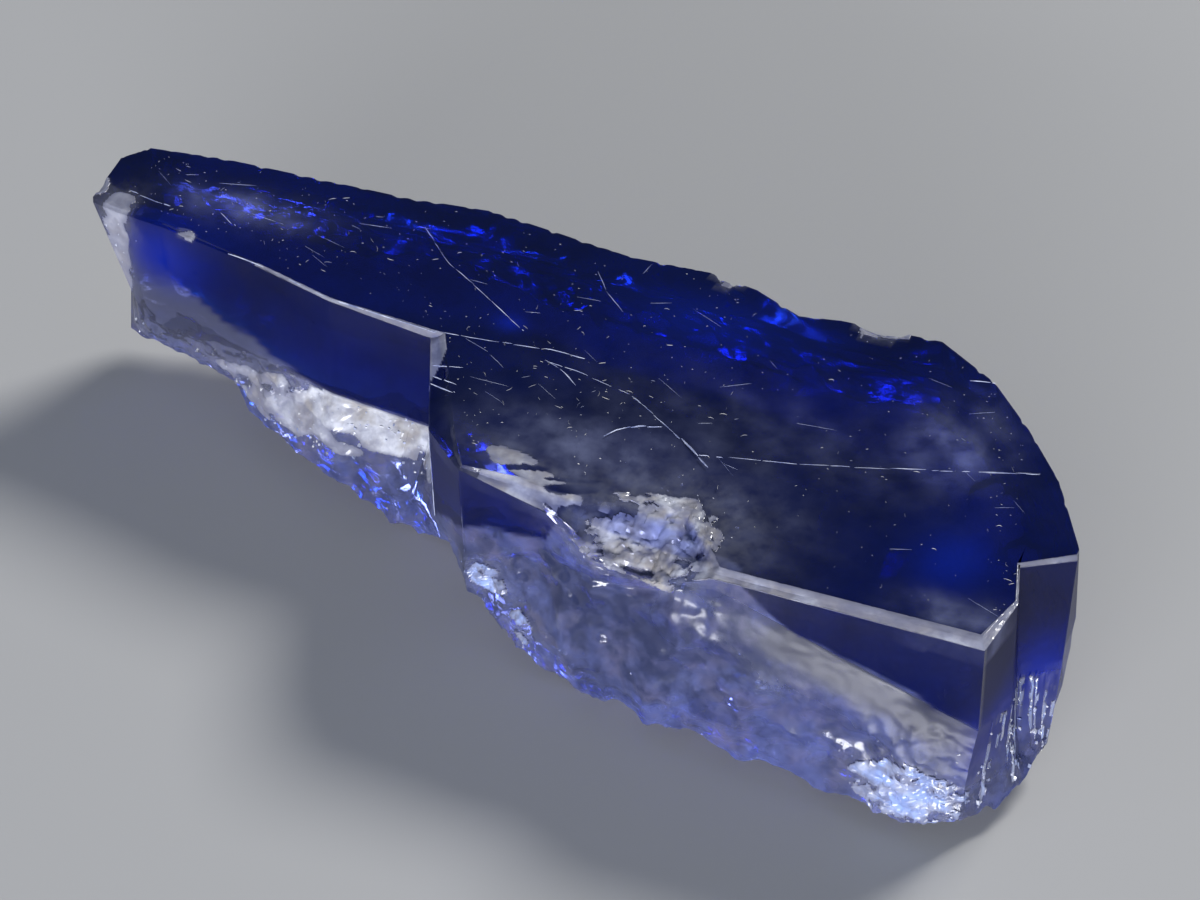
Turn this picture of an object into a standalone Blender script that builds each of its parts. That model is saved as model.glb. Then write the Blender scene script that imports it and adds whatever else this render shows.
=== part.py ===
"""Blue halite: a cleavage fragment of colour-zoned rock salt, as found, resting on a small flat spot.

Rock salt splits along three planes at right angles, so the frame follows the crystal: +X runs along the long
cleavage edge to the broad end, +Y points to the back face and +Z out of the top cleavage face. The stone is
one piece. Its skin is a loft along X: nine edges run from the thin end to the broad end, and a section is the
closed polygon through them. The broken faces between the edges are then hollowed, as salt breaks.
"""

import itertools

import bmesh
import bpy
import numpy as np

MM = 0.001
HEIGHT = 7.4

# The sections in order from the thin end. Each edge below gives its corners as {section: (x, y, z)}, in
# millimetres from a mark on the top face, and is straight between them.
THIN_END, TIP, NECK, SHOULDER, WAIST, INNER_CORNER, JOG, NEAR_CORNER = range(8)
BEVEL_START, BEVEL, BEVEL_END, RIGHT_FACE, END_FRONT, END_BACK, NOTCH, LAST_EDGE = range(8, 16)

TOP_BACK = {
    THIN_END: (-19.8, 4.4, 7.4), TIP: (-19.1, 5.3, 7.4), NECK: (-16.4, 5.7, 7.4), WAIST: (-9.7, 6.0, 7.4),
    INNER_CORNER: (-6.6, 6.4, 7.4), NEAR_CORNER: (-1.2, 5.8, 7.4), BEVEL_START: (1.6, 6.0, 7.4),
    BEVEL: (3.4, 5.7, 7.4), 9.6: (5.2, 4.9, 7.4), BEVEL_END: (6.6, 5.2, 7.4), RIGHT_FACE: (10.1, 5.4, 7.4),
    END_FRONT: (12.4, 4.0, 7.4), END_BACK: (14.2, 2.1, 7.4), NOTCH: (15.9, 0.0, 7.4),
    LAST_EDGE: (17.5, -2.9, 7.4),
}
TOP_INNER = {
    THIN_END: (-19.7, 2.0, 7.4), TIP: (-18.6, 1.8, 7.4), NECK: (-16.7, 1.6, 7.4), SHOULDER: (-13.1, 0.8, 7.4),
    WAIST: (-9.7, -0.1, 7.4), INNER_CORNER: (-5.4, -0.4, 7.4), JOG: (-3.0, -5.1, 7.4),
    NEAR_CORNER: (-2.2, -6.4, 7.4), BEVEL_START: (0.9, -6.2, 7.4), BEVEL: (3.4, -5.2, 7.4),
    9.6: (5.4, -5.6, 7.4), BEVEL_END: (7.3, -8.0, 7.4), END_FRONT: (15.9, -7.9, 7.4),
    END_BACK: (16.4, -6.0, 7.4), NOTCH: (15.9, -4.3, 7.4), LAST_EDGE: (17.5, -3.2, 7.4),
}
TOP_FRONT = {
    THIN_END: (-19.6, 1.8, 7.3), TIP: (-18.6, 1.6, 7.3), NECK: (-16.7, 1.4, 7.3), SHOULDER: (-13.1, 0.7, 7.3),
    WAIST: (-9.7, -0.2, 7.3), INNER_CORNER: (-5.9, -0.5, 7.1), JOG: (-4.1, -4.8, 7.0),
    NEAR_CORNER: (-2.3, -6.5, 7.2), BEVEL_START: (1.0, -7.1, 6.9), BEVEL: (2.9, -8.0, 6.3),
    9.6: (5.2, -8.3, 6.3), BEVEL_END: (7.2, -8.4, 7.2), END_FRONT: (16.2, -8.4, 7.2),
    END_BACK: (16.5, -6.1, 7.3), NOTCH: (16.0, -4.4, 7.3), LAST_EDGE: (17.6, -3.4, 7.3),
}
FRONT_FOOT = {
    THIN_END: (-17.9, 1.6, 3.0), TIP: (-17.6, 1.6, 2.9), NECK: (-16.4, 1.4, 2.8), SHOULDER: (-13.1, 0.6, 3.4),
    WAIST: (-9.7, -0.3, 3.3), INNER_CORNER: (-5.9, -0.6, 3.2), JOG: (-3.9, -4.9, 3.2),
    NEAR_CORNER: (-2.2, -6.4, 3.5), 7.5: (-0.7, -6.8, 4.3), BEVEL_START: (1.0, -7.2, 5.5),
    BEVEL: (3.0, -8.1, 5.8), BEVEL_END: (7.4, -8.5, 6.9), RIGHT_FACE: (11.6, -8.5, 5.4),
    END_FRONT: (16.2, -8.5, 3.9),
    END_BACK: (16.6, -6.3, 3.1), NOTCH: (16.4, -5.1, 3.2), LAST_EDGE: (17.6, -4.3, 3.4),
}
FRONT_LOW = {
    THIN_END: (-18.8, 2.3, 1.5), TIP: (-17.9, 1.8, 1.4), NECK: (-16.4, 1.6, 1.5), 2.7: (-14.2, 1.0, 1.3),
    SHOULDER: (-13.2, 0.1, 1.1), WAIST: (-9.4, -1.7, 1.0), INNER_CORNER: (-6.0, -2.8, 1.0),
    JOG: (-3.2, -4.0, 0.9), NEAR_CORNER: (-2.1, -5.5, 0.7), BEVEL_START: (0.8, -7.7, 0.6),
    BEVEL: (3.6, -8.7, 0.6), BEVEL_END: (7.0, -9.2, 0.6), RIGHT_FACE: (11.6, -9.4, 0.6),
    11.6: (14.8, -10.0, 0.6), END_FRONT: (16.0, -9.7, 0.6), END_BACK: (17.0, -8.1, 0.7),
    NOTCH: (17.4, -6.8, 0.8), LAST_EDGE: (17.6, -5.3, 1.0),
}
SOLE_FRONT = {
    THIN_END: (-18.4, 3.0, 1.4), SHOULDER: (-12.9, 1.7, 1.1), WAIST: (-9.4, -0.1, 0.8),
    INNER_CORNER: (-6.6, -1.0, 0.5), JOG: (-3.6, -2.2, 0.3), NEAR_CORNER: (-1.2, -4.0, 0.2),
    BEVEL_START: (1.2, -5.8, 0.2), BEVEL: (3.6, -6.7, 0.2), BEVEL_END: (7.0, -7.0, 0.4),
    RIGHT_FACE: (11.4, -7.1, 0.8), END_FRONT: (14.6, -6.8, 0.9), END_BACK: (15.7, -6.0, 1.0),
    NOTCH: (16.2, -5.3, 1.0), LAST_EDGE: (17.3, -4.7, 1.1),
}
SOLE_BACK = {
    THIN_END: (-18.4, 3.8, 1.4), SHOULDER: (-12.9, 4.2, 1.1), WAIST: (-9.6, 4.4, 0.8),
    INNER_CORNER: (-6.6, 4.5, 0.5), NEAR_CORNER: (-1.2, 4.4, 0.2), BEVEL: (3.6, 4.2, 0.2),
    BEVEL_END: (6.8, 3.8, 0.4), RIGHT_FACE: (10.0, 3.5, 0.8), END_FRONT: (12.2, 2.0, 0.9),
    END_BACK: (13.8, 0.3, 1.0), NOTCH: (15.3, -1.4, 1.0), LAST_EDGE: (17.3, -4.0, 1.1),
}
BACK_LOW = {
    THIN_END: (-18.6, 4.5, 2.2), TIP: (-18.5, 4.9, 2.1), NECK: (-16.2, 5.3, 1.9), WAIST: (-9.7, 5.6, 1.6),
    INNER_CORNER: (-6.6, 5.9, 1.4), BEVEL: (3.4, 5.4, 1.3), BEVEL_END: (6.8, 4.9, 1.3),
    RIGHT_FACE: (10.2, 4.9, 1.4), END_FRONT: (12.5, 3.5, 1.6), END_BACK: (14.3, 1.6, 1.7),
    NOTCH: (16.0, -0.6, 1.8), LAST_EDGE: (17.5, -3.5, 2.1),
}
BACK_MID = {
    THIN_END: (-18.7, 4.5, 4.6), TIP: (-18.8, 5.2, 4.6), NECK: (-16.4, 5.7, 4.4), WAIST: (-9.7, 6.1, 4.2),
    INNER_CORNER: (-6.6, 6.4, 4.0), BEVEL: (3.4, 5.8, 4.4), BEVEL_END: (6.8, 5.3, 4.6),
    RIGHT_FACE: (10.2, 5.5, 4.6), END_FRONT: (12.5, 4.1, 4.6), END_BACK: (14.3, 2.2, 4.6),
    NOTCH: (16.0, 0.1, 4.6), LAST_EDGE: (17.6, -3.0, 4.6),
}

# The faces around a section: the edge each starts from, the steps across it, how broken it is, from 0 for a
# clean cleavage face to 1, and how far its middle swells, in millimetres
FACES = (
    (TOP_BACK, 6, 0.0, 0.0), (TOP_INNER, 3, 0.8, 0.0), (TOP_FRONT, 4, 0.0, 0.0), (FRONT_FOOT, 7, 1.0, 0.3),
    (FRONT_LOW, 4, 1.0, 0.1), (SOLE_FRONT, 8, 0.45, 0.65), (SOLE_BACK, 3, 0.8, 0.2), (BACK_LOW, 5, 0.7, 0.2),
    (BACK_MID, 3, 0.0, 0.0),
)
STEP_ALONG = 0.65
CAP_RINGS = 3

# The break: bowls of two sizes that meet in sharp ridges, as (size, depth). A face narrower than FULL_BREAK
# breaks less deeply. Relief stands out from a bar inside each section, BAR_INSET short of its front and back.
BOWLS = ((3.0, 0.8), (1.3, 0.45))
BOWL_LEVEL = 0.45
FULL_BREAK = 2.0
BAR_INSET = 2.5

# Chips and shallow shells broken off the top, as balls that took a bite: (centre, radius)
BITES = (
    ((3.2, -5.9, 26.5), 19.45),
    ((2.4, 6.2, 8.6), 1.4),
    ((8.0, 5.9, 8.9), 1.9),
    ((-20.1, 2.6, 8.3), 1.1),
    ((-15.9, 1.0, 8.2), 0.95),
)

# The skin's place in the finished part's frame, whose origin is under the middle of the box
ORIGIN = (1.1, 1.75, 0.0)


def edge_points(edge, sections):
    """Points of an edge at the given sections, straight between the edge's own corners."""
    marks = sorted(edge)
    corners = np.array([edge[mark] for mark in marks])
    return np.stack([np.interp(sections, marks, corners[:, axis]) for axis in range(3)], axis=-1)


def section_numbers():
    """Sections to build: one at each corner of an edge, and enough between that no edge steps further than
    STEP_ALONG."""
    marks = sorted({mark for face in FACES for mark in face[0]})
    numbers = [marks[0]]
    for start, end in zip(marks[:-1], marks[1:]):
        spans = [np.linalg.norm(np.diff(edge_points(face[0], (start, end)), axis=0)) for face in FACES]
        steps = int(np.ceil(max(spans) / STEP_ALONG))
        numbers.extend(np.linspace(start, end, steps + 1)[1:])
    return np.array(numbers)


def loft():
    """The skin before it breaks: its points, a row for each section and a column for each place around it,
    how broken each point is and how far it swells."""
    sections = section_numbers()
    points = []
    broken = []
    swell = []
    last_breaking = FACES[-1][2]
    for (edge, steps, breaking, belly), following in zip(FACES, FACES[1:] + FACES[:1]):
        start = edge_points(edge, sections)
        across = edge_points(following[0], sections) - start
        depth = np.minimum(np.linalg.norm(across, axis=-1) / FULL_BREAK, 1.0)
        for step in range(steps):
            share = step / steps
            points.append(start + across * share)
            broken.append(depth * (breaking if step else min(breaking, last_breaking)))
            swell.append(depth * belly * 4 * share * (1 - share))
        last_breaking = breaking
    return np.stack(points, axis=1), np.stack(broken, axis=1), np.stack(swell, axis=1)


def with_caps(skin):
    """The skin with CAP_RINGS more rows at each end, drawn in evenly to the end's middle, so that it is
    closed."""
    shares = np.arange(1, CAP_RINGS + 1)[:, None, None] / CAP_RINGS
    first = skin[0] + (skin[0].mean(axis=0) - skin[0]) * shares
    last = skin[-1] + (skin[-1].mean(axis=0) - skin[-1]) * shares
    return np.concatenate([first[::-1], skin, last])


def outward(skin):
    """Unit directions out of the stone, away from the bar inside each section."""
    front = skin[..., 1].min(axis=1, keepdims=True)
    back = skin[..., 1].max(axis=1, keepdims=True)
    inset = np.minimum(BAR_INSET, 0.4 * (back - front))
    away = skin - skin.mean(axis=1, keepdims=True)
    away[..., 0] = 0.0
    away[..., 1] = skin[..., 1] - np.clip(skin[..., 1], front + inset, back - inset)
    return away / np.maximum(np.linalg.norm(away, axis=-1, keepdims=True), 1e-9)


def bowls(points, size, seed):
    """Squared distance of each point from the nearest of many scattered centres, in units of the size: bowls
    that meet in sharp ridges."""
    scatter = np.random.default_rng(seed).random((16, 16, 16, 3))
    cell = np.floor(points / size).astype(int)
    nearest = np.full(points.shape[:-1], np.inf)
    for step in itertools.product((-1, 0, 1), repeat=3):
        other = cell + step
        centre = (other + scatter[tuple(np.moveaxis(other % 16, -1, 0))]) * size
        nearest = np.minimum(nearest, np.sum((points - centre) ** 2, axis=-1))
    return nearest / size**2


def bitten(skin, centre, radius):
    """The skin with every point inside a ball pushed back to the ball's surface."""
    offset = skin - np.array(centre)
    distance = np.linalg.norm(offset, axis=-1, keepdims=True)
    return np.where(distance < radius, np.array(centre) + offset * radius / distance, skin)


def stone_points():
    """The finished skin in millimetres, in the part's own frame."""
    skin, broken, swell = loft()
    rise = swell
    for seed, (size, depth) in enumerate(BOWLS):
        rise = rise + broken * depth * (bowls(skin, size, seed) - BOWL_LEVEL)
    skin = skin + outward(skin) * rise[..., None]
    for centre, radius in BITES:
        skin = bitten(skin, centre, radius)
    skin[..., 2] = np.clip(skin[..., 2], 0.0, HEIGHT)
    return with_caps(skin) + np.array(ORIGIN)


def clear_scene():
    for thing in list(bpy.data.objects):
        bpy.data.objects.remove(thing, do_unlink=True)


def salt_material():
    """Clear salt, deep blue: see-through, with the refractive index of rock salt."""
    material = bpy.data.materials.new("blue_salt")
    material.use_nodes = True
    shader = material.node_tree.nodes["Principled BSDF"]
    shader.inputs["Base Color"].default_value = (0.05, 0.09, 0.42, 1.0)
    shader.inputs["Roughness"].default_value = 0.12
    shader.inputs["Metallic"].default_value = 0.0
    shader.inputs["IOR"].default_value = 1.544
    shader.inputs["Transmission Weight"].default_value = 0.9
    return material


def make_stone():
    skin = stone_points() * MM
    number = np.arange(skin.shape[0] * skin.shape[1]).reshape(skin.shape[:2])
    beside = np.roll(number, -1, axis=1)
    quads = np.stack([number[:-1], number[1:], beside[1:], beside[:-1]], axis=-1).reshape(-1, 4)
    mesh = bpy.data.meshes.new("halite_crystal")
    mesh.from_pydata(skin.reshape(-1, 3).tolist(), [], quads.tolist())
    shape = bmesh.new()
    shape.from_mesh(mesh)
    bmesh.ops.remove_doubles(shape, verts=shape.verts, dist=0.01 * MM)
    bmesh.ops.triangulate(shape, faces=shape.faces)
    bmesh.ops.recalc_face_normals(shape, faces=shape.faces)
    shape.to_mesh(mesh)
    shape.free()
    mesh.shade_flat()
    mesh.materials.append(salt_material())
    return bpy.data.objects.new("halite_crystal", mesh)


def main():
    clear_scene()
    collection = bpy.data.collections.new("blue_halite")
    bpy.context.scene.collection.children.link(collection)
    collection.objects.link(make_stone())


main()
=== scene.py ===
# %% [markdown]
# # Blue halite
# Halite is rock salt. It grows and splits along three planes at right angles, so a broken piece keeps
# flat, glassy cleavage faces beside rough breaks. This piece is clear salt with a deep blue colour zone in
# it, which comes from radiation in the ground and not from a dye. The lesson builds one such fragment as a
# surface worked out with numpy, gives it the optics of salt, and lights it plainly.

# %% Load the frame
import itertools
import math

import bpy
import numpy as np
from mathutils import Matrix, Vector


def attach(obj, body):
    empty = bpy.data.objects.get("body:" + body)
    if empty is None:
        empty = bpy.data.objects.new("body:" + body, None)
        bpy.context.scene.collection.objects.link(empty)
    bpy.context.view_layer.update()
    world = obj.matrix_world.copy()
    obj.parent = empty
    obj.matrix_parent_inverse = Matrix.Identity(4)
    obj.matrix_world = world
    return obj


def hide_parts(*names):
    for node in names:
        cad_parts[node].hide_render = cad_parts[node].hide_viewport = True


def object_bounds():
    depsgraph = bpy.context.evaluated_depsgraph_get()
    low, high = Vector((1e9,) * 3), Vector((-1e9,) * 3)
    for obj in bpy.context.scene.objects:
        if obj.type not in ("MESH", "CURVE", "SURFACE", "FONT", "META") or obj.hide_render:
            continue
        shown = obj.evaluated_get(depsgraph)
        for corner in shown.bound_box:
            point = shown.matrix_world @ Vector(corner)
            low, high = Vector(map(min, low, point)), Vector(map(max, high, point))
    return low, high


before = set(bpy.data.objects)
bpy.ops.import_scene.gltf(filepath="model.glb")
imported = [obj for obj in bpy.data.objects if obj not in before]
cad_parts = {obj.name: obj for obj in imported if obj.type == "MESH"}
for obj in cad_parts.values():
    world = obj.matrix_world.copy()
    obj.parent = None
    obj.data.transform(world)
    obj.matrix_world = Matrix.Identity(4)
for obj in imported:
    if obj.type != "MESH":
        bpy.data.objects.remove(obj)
cad_low, cad_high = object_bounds()
MM = 0.001
print("frame box in millimetres:", [round(v / MM, 2) for v in (*cad_low, *cad_high)])

# %% [markdown]
# ## The edges of the stone
# The stone is a loft along X. Nine edges run from the thin end to the broad end, and a section is the
# closed polygon through them. An edge is straight between its corners, so the corners are all that is
# written down: {section: (x, y, z)} in millimetres. The frame's solid has the same edges. Repeating them
# here lets the fine surface keep every corner exactly, which a smoothed copy of the coarse mesh would
# round off.

# %% Edges
THIN_END, TIP, NECK, SHOULDER, WAIST, INNER_CORNER, JOG, NEAR_CORNER = range(8)
BEVEL_START, BEVEL, BEVEL_END, RIGHT_FACE, END_FRONT, END_BACK, NOTCH, LAST_EDGE = range(8, 16)
# Places between two of them where an edge has one more corner
LOW_STEP, FOOT_RISE, BEVEL_MIDDLE, LOW_BULGE = 2.7, 7.5, 9.6, 11.6

TOP_BACK = {
    THIN_END: (-19.8, 4.4, 7.4), TIP: (-19.1, 5.3, 7.4), NECK: (-16.4, 5.7, 7.4), WAIST: (-9.7, 6.0, 7.4),
    INNER_CORNER: (-6.6, 6.4, 7.4), NEAR_CORNER: (-1.2, 5.8, 7.4), BEVEL_START: (1.6, 6.0, 7.4),
    BEVEL: (3.4, 5.7, 7.4), BEVEL_MIDDLE: (5.2, 4.9, 7.4), BEVEL_END: (6.6, 5.2, 7.4),
    RIGHT_FACE: (10.1, 5.4, 7.4), END_FRONT: (12.4, 4.0, 7.4), END_BACK: (14.2, 2.1, 7.4),
    NOTCH: (15.9, 0.0, 7.4), LAST_EDGE: (17.5, -2.9, 7.4),
}
TOP_INNER = {
    THIN_END: (-19.7, 2.0, 7.4), TIP: (-18.6, 1.8, 7.4), NECK: (-16.7, 1.6, 7.4), SHOULDER: (-13.1, 0.8, 7.4),
    WAIST: (-9.7, -0.1, 7.4), INNER_CORNER: (-5.4, -0.4, 7.4), JOG: (-3.0, -5.1, 7.4),
    NEAR_CORNER: (-2.2, -6.4, 7.4), BEVEL_START: (0.9, -6.2, 7.4), BEVEL: (3.4, -5.2, 7.4),
    BEVEL_MIDDLE: (5.4, -5.6, 7.4), BEVEL_END: (7.3, -8.0, 7.4), END_FRONT: (15.9, -7.9, 7.4),
    END_BACK: (16.4, -6.0, 7.4), NOTCH: (15.9, -4.3, 7.4), LAST_EDGE: (17.5, -3.2, 7.4),
}
TOP_FRONT = {
    THIN_END: (-19.6, 1.8, 7.3), TIP: (-18.6, 1.6, 7.3), NECK: (-16.7, 1.4, 7.3), SHOULDER: (-13.1, 0.7, 7.3),
    WAIST: (-9.7, -0.2, 7.3), INNER_CORNER: (-5.9, -0.5, 7.1), JOG: (-4.1, -4.8, 7.0),
    NEAR_CORNER: (-2.3, -6.5, 7.2), BEVEL_START: (1.0, -7.1, 6.9), BEVEL: (2.9, -8.0, 6.3),
    BEVEL_MIDDLE: (5.2, -8.3, 6.3), BEVEL_END: (7.2, -8.4, 7.2), END_FRONT: (16.2, -8.4, 7.2),
    END_BACK: (16.5, -6.1, 7.3), NOTCH: (16.0, -4.4, 7.3), LAST_EDGE: (17.6, -3.4, 7.3),
}
FRONT_FOOT = {
    THIN_END: (-17.9, 1.6, 3.0), TIP: (-17.6, 1.6, 2.9), NECK: (-16.4, 1.4, 2.8), SHOULDER: (-13.1, 0.6, 3.4),
    WAIST: (-9.7, -0.3, 3.3), INNER_CORNER: (-5.9, -0.6, 3.2), JOG: (-3.9, -4.9, 3.2),
    NEAR_CORNER: (-2.2, -6.4, 3.5), FOOT_RISE: (-0.7, -6.8, 4.3), BEVEL_START: (1.0, -7.2, 5.5),
    BEVEL: (3.0, -8.1, 5.8), BEVEL_END: (7.4, -8.5, 6.9), RIGHT_FACE: (11.6, -8.5, 5.4),
    END_FRONT: (16.2, -8.5, 3.9), END_BACK: (16.6, -6.3, 3.1), NOTCH: (16.4, -5.1, 3.2),
    LAST_EDGE: (17.6, -4.3, 3.4),
}
FRONT_LOW = {
    THIN_END: (-18.8, 2.3, 1.5), TIP: (-17.9, 1.8, 1.4), NECK: (-16.4, 1.6, 1.5),
    LOW_STEP: (-14.2, 1.0, 1.3), SHOULDER: (-13.2, 0.1, 1.1), WAIST: (-9.4, -1.7, 1.0),
    INNER_CORNER: (-6.0, -2.8, 1.0),
    JOG: (-3.2, -4.0, 0.9), NEAR_CORNER: (-2.1, -5.5, 0.7), BEVEL_START: (0.8, -7.7, 0.6),
    BEVEL: (3.6, -8.7, 0.6), BEVEL_END: (7.0, -9.2, 0.6), RIGHT_FACE: (11.6, -9.4, 0.6),
    LOW_BULGE: (14.8, -10.0, 0.6), END_FRONT: (16.0, -9.7, 0.6), END_BACK: (17.0, -8.1, 0.7),
    NOTCH: (17.4, -6.8, 0.8), LAST_EDGE: (17.6, -5.3, 1.0),
}
SOLE_FRONT = {
    THIN_END: (-18.4, 3.0, 1.4), SHOULDER: (-12.9, 1.7, 1.1), WAIST: (-9.4, -0.1, 0.8),
    INNER_CORNER: (-6.6, -1.0, 0.5), JOG: (-3.6, -2.2, 0.3), NEAR_CORNER: (-1.2, -4.0, 0.2),
    BEVEL_START: (1.2, -5.8, 0.2), BEVEL: (3.6, -6.7, 0.2), BEVEL_END: (7.0, -7.0, 0.4),
    RIGHT_FACE: (11.4, -7.1, 0.8), END_FRONT: (14.6, -6.8, 0.9), END_BACK: (15.7, -6.0, 1.0),
    NOTCH: (16.2, -5.3, 1.0), LAST_EDGE: (17.3, -4.7, 1.1),
}
SOLE_BACK = {
    THIN_END: (-18.4, 3.8, 1.4), SHOULDER: (-12.9, 4.2, 1.1), WAIST: (-9.6, 4.4, 0.8),
    INNER_CORNER: (-6.6, 4.5, 0.5), NEAR_CORNER: (-1.2, 4.4, 0.2), BEVEL: (3.6, 4.2, 0.2),
    BEVEL_END: (6.8, 3.8, 0.4), RIGHT_FACE: (10.0, 3.5, 0.8), END_FRONT: (12.2, 2.0, 0.9),
    END_BACK: (13.8, 0.3, 1.0), NOTCH: (15.3, -1.4, 1.0), LAST_EDGE: (17.3, -4.0, 1.1),
}
BACK_LOW = {
    THIN_END: (-18.6, 4.5, 2.2), TIP: (-18.5, 4.9, 2.1), NECK: (-16.2, 5.3, 1.9), WAIST: (-9.7, 5.6, 1.6),
    INNER_CORNER: (-6.6, 5.9, 1.4), BEVEL: (3.4, 5.4, 1.3), BEVEL_END: (6.8, 4.9, 1.3),
    RIGHT_FACE: (10.2, 4.9, 1.4), END_FRONT: (12.5, 3.5, 1.6), END_BACK: (14.3, 1.6, 1.7),
    NOTCH: (16.0, -0.6, 1.8), LAST_EDGE: (17.5, -3.5, 2.1),
}
BACK_MID = {
    THIN_END: (-18.7, 4.5, 4.6), TIP: (-18.8, 5.2, 4.6), NECK: (-16.4, 5.7, 4.4), WAIST: (-9.7, 6.1, 4.2),
    INNER_CORNER: (-6.6, 6.4, 4.0), BEVEL: (3.4, 5.8, 4.4), BEVEL_END: (6.8, 5.3, 4.6),
    RIGHT_FACE: (10.2, 5.5, 4.6), END_FRONT: (12.5, 4.1, 4.6), END_BACK: (14.3, 2.2, 4.6),
    NOTCH: (16.0, 0.1, 4.6), LAST_EDGE: (17.6, -3.0, 4.6),
}
HEIGHT = 7.4
# The corner mark that the edges are measured from, seen from the frame's own origin
ORIGIN = np.array((1.1, 1.75, 0.0))
print("height in millimetres:", HEIGHT, "last section:", LAST_EDGE)

# %% [markdown]
# ## The skin on a fine grid
# The skin is a grid: its rows are sections of the loft and its columns go once around a section. A point
# is a straight mix of two neighbouring edges, so flat cleavage faces stay flat at any density. The front
# flank gets the closest columns because all the fine break is there. A subdivision modifier could make as
# many faces, but it would round the edges, and salt has sharp ones.

# %% Rows and columns
FACES = (
    # edge it starts from, columns across it, how broken it is, how far its middle swells
    (TOP_BACK, 52, 0.0, 0.0), (TOP_INNER, 20, 0.8, 0.0), (TOP_FRONT, 18, 0.0, 0.0),
    (FRONT_FOOT, 64, 1.0, 0.3), (FRONT_LOW, 24, 1.0, 0.1), (SOLE_FRONT, 24, 0.45, 0.65),
    (SOLE_BACK, 12, 0.8, 0.2), (BACK_LOW, 26, 0.7, 0.2), (BACK_MID, 12, 0.0, 0.0),
)
TOP, RIM, CLEAVAGE, FLANK, TOE, SOLE, HEEL, BACK_FLANK, BACK_WALL = range(len(FACES))
CROWDING = {TOP: 1.8}
ROW_STEP = 0.16
EDGE_RAMP = 0.3
FULL_BREAK = 2.0


def edge_points(edge, sections):
    """Points of an edge at the given sections: each axis runs straight between the edge's own corners."""
    marks = sorted(edge)
    corners = np.array([edge[mark] for mark in marks])
    return np.stack([np.interp(sections, marks, corners[:, axis]) for axis in range(3)], axis=-1)


def section_numbers(step):
    """Sections at every corner of every edge, and enough between two corners that no edge moves further
    than the step."""
    marks = sorted({mark for face in FACES for mark in face[0]})
    numbers = [marks[0]]
    for start, end in itertools.pairwise(marks):
        ends = [edge_points(face[0], (start, end)) for face in FACES]
        spans = [np.linalg.norm(np.diff(pair, axis=0)) for pair in ends]
        numbers.extend(np.linspace(start, end, math.ceil(max(spans) / step) + 1)[1:])
    return np.array(numbers)


def loft(sections):
    """The skin before it breaks. Across a face a point is start + share * (end - start). Its break is 0
    to 1 and falls over EDGE_RAMP to the calmer neighbour's at both sides, and its swell is
    belly * 4s(1 - s). Shares are even, or crowd towards the end as 1 - (1 - t) ** crowding."""
    points, broken, swell, side = [], [], [], []
    for number, (edge, columns, breaking, belly) in enumerate(FACES):
        following = FACES[(number + 1) % len(FACES)]
        start = edge_points(edge, sections)[:, None]
        across = edge_points(following[0], sections)[:, None] - start
        width = np.linalg.norm(across, axis=-1)
        share = 1 - (1 - np.arange(columns)[None, :] / columns) ** CROWDING.get(number, 1.0)
        depth = np.minimum(width / FULL_BREAK, 1.0)
        ramp = EDGE_RAMP / np.maximum(width, 2 * EDGE_RAMP)
        calm_start = min(breaking, FACES[number - 1][2]) - breaking
        calm_end = min(breaking, following[2]) - breaking
        settle = calm_start * np.clip(1 - share / ramp, 0, 1)
        settle = settle + calm_end * np.clip(1 - (1 - share) / ramp, 0, 1)
        points.append(start + across * share[..., None])
        broken.append(depth * (breaking + settle))
        swell.append(depth * belly * 4 * share * (1 - share))
        side.append(np.full(broken[-1].shape, number))
    return [np.concatenate(part, axis=1) for part in (points, broken, swell, side)]


sections = section_numbers(ROW_STEP)
skin, broken, swell, side = loft(sections)
row = np.broadcast_to(sections[:, None], broken.shape)
print("rows and columns:", skin.shape[:2], "triangles:", 2 * skin.shape[0] * skin.shape[1])

# %% [markdown]
# ## How salt breaks
# Where it doesn't cleave, salt breaks in shells: shallow bowls that meet in sharp ridges. Squared distance
# to the nearest of many scattered centres gives that at once, because every cell is a bowl with its own
# centre. Measured along the crystal's axes instead (the largest of the three distances), the bowls become
# small stepped pyramids, which is how the crushed places look close up. Sculpting would do too, but a
# formula keeps the coarse solid and this skin in step.

# %% Bowls and steps
# Size and depth of the bowls, large and small, and the level in them that stays where the skin was
BOWLS = ((3.0, 0.8), (1.3, 0.45))
BOWL_LEVEL = 0.45
BAR_INSET = 2.5
LATTICE = 16


def cells(points, size, seed, square=False):
    """Squared distance to the nearest scattered centre, in units of the size, and a tone from 0 to 1 that
    the centre drew by lot. One centre lies in each cell of a grid, which repeats after LATTICE cells, and
    is moved by a seeded random part of a cell; square measures by the largest axis alone."""
    draw = np.random.default_rng(seed).random((LATTICE, LATTICE, LATTICE, 4))
    cell = np.floor(points / size).astype(int)
    nearest, tone = np.full(points.shape[:-1], np.inf), np.zeros(points.shape[:-1])
    for step in itertools.product((-1, 0, 1), repeat=3):
        other = cell + step
        drawn = draw[tuple(np.moveaxis(other % LATTICE, -1, 0))]
        gap = points - (other + drawn[..., :3]) * size
        reach = np.abs(gap).max(axis=-1) ** 2 if square else np.sum(gap**2, axis=-1)
        tone = np.where(reach < nearest, drawn[..., 3], tone)
        nearest = np.minimum(nearest, reach)
    return nearest / size**2, tone


def outward(points):
    """Unit directions out of the stone, square to X, away from a bar inside each section."""
    front = points[..., 1].min(axis=1, keepdims=True)
    back = points[..., 1].max(axis=1, keepdims=True)
    inset = np.minimum(BAR_INSET, 0.4 * (back - front))
    away = points - points.mean(axis=1, keepdims=True)
    away[..., 0] = 0.0
    away[..., 1] = points[..., 1] - np.clip(points[..., 1], front + inset, back - inset)
    return away / np.maximum(np.linalg.norm(away, axis=-1, keepdims=True), 1e-9)


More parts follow.
